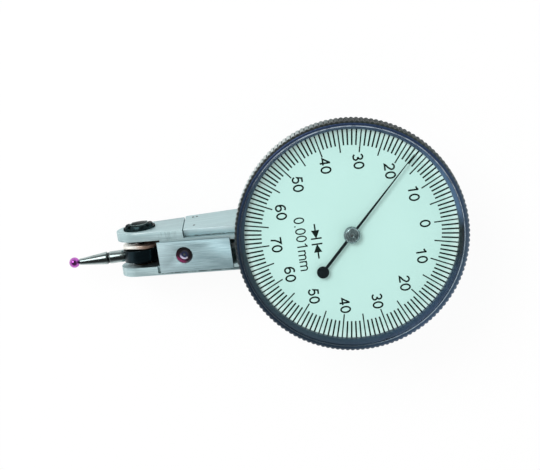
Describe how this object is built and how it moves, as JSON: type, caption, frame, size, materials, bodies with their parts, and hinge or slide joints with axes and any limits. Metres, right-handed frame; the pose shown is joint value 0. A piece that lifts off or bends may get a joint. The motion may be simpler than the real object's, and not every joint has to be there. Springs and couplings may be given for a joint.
{
  "type": "dial test indicator",
  "caption": "Lever-type dial test indicator: small round dial, knurled turning bezel, dovetail rails and a swinging stylus with a ruby contact ball.",
  "frame": {"origin": "on the dial's axis, at the outer face of the rear dovetail rail", "axes": "+Z along the dial axis, out of the dial face; -X towards the stylus; +Y towards the side that carries the side dovetail rail and the pivot nut"},
  "size_m": [0.0701, 0.04, 0.0213],
  "materials": {
    "satin_steel": "fine satin grain along the arm",
    "polished_steel": "turned and polished steel",
    "dark_steel": "blackened steel with a soft gloss",
    "bezel_metal": "polished steel that reflects dark blue, knurled rim",
    "brass": "satin",
    "washer_bronze": "polished copper bronze",
    "ruby": "polished synthetic ruby",
    "dial_face": "matte pale mint with dark green printing",
    "crystal_glass": "clear, polished",
    "spring_steel": "blued spring steel",
    "needle_black": "matte near-black"
  },
  "bodies": {
    "body": {"main_body": "satin_steel", "front_plate": "satin_steel", "side_dovetail": "satin_steel", "rear_dovetail": "satin_steel", "rear_dovetail_screw_1": "dark_steel", "rear_dovetail_screw_2": "dark_steel", "pivot_nut": "dark_steel", "lower_pivot_screw": "dark_steel", "upper_bearing": "brass", "lower_bearing": "brass", "front_jewel": "ruby", "sector_jewel": "ruby", "wheel_lower_jewel": "ruby", "wheel_upper_jewel": "ruby", "centre_lower_jewel": "ruby", "centre_upper_jewel": "ruby", "bridge": "brass", "bridge_pillar_1": "brass", "bridge_pillar_2": "brass", "bridge_pillar_3": "brass", "bridge_screw_1": "dark_steel", "bridge_screw_2": "dark_steel", "bridge_screw_3": "dark_steel", "hairspring": "spring_steel", "hairspring_stud": "brass", "bezel_spring_ring": "spring_steel"},
    "bezel_assembly": {"bezel": "bezel_metal", "dial_plate": "dial_face", "crystal": "crystal_glass"},
    "lever": {"inner_lever": "dark_steel", "clamp_washer": "dark_steel", "friction_washer": "washer_bronze"},
    "stylus_assembly": {"lever_holder": "dark_steel", "stylus": "polished_steel", "stylus_ball": "ruby"},
    "sector": {"sector_lever": "polished_steel"},
    "intermediate": {"intermediate_pinion": "polished_steel", "intermediate_wheel": "brass"},
    "pointer_assembly": {"pointer_arbor": "polished_steel", "pointer": "needle_black", "pointer_hub": "polished_steel"}
  },
  "joints": [
    {"name": "pointer_turn", "type": "hinge", "parent": "body", "child": "pointer_assembly", "pos_m": [0, 0, 0.0192], "axis": [0, 0, 1], "range_deg": [-330, 330], "stiffness_Nm_per_rad": 0.000001},
    {"name": "lever_swing", "type": "hinge", "parent": "body", "child": "lever", "pos_m": [-0.0368, 0, 0.0069], "axis": [0, 1, 0], "range_deg": [-0.6, 0.6], "stiffness_Nm_per_rad": 0.000005, "springref_deg": 121.07},
    {"name": "stylus_set", "type": "hinge", "parent": "lever", "child": "stylus_assembly", "pos_m": [-0.0368, 0, 0.0069], "axis": [0, 1, 0], "range_deg": [-100, 100]},
    {"name": "sector_swing", "type": "hinge", "parent": "body", "child": "sector", "pos_m": [-0.0292, -0.0006, 0.0109], "axis": [0, 0, 1], "range_deg": [-1.33, 1.33]},
    {"name": "intermediate_turn", "type": "hinge", "parent": "body", "child": "intermediate", "pos_m": [-0.00848, -0.0006, 0.0141], "axis": [0, 0, 1], "range_deg": [-33.1, 33.1]},
    {"name": "bezel_turn", "type": "hinge", "parent": "body", "child": "bezel_assembly", "pos_m": [0, 0, 0.0184], "axis": [0, 0, 1], "continuous": true}
  ],
  "couplings": [
    {"joint": "lever_swing", "follows": "pointer_turn", "ratio": 0.0017969},
    {"joint": "sector_swing", "follows": "pointer_turn", "ratio": 0.004},
    {"joint": "intermediate_turn", "follows": "pointer_turn", "ratio": -0.1}
  ]
}
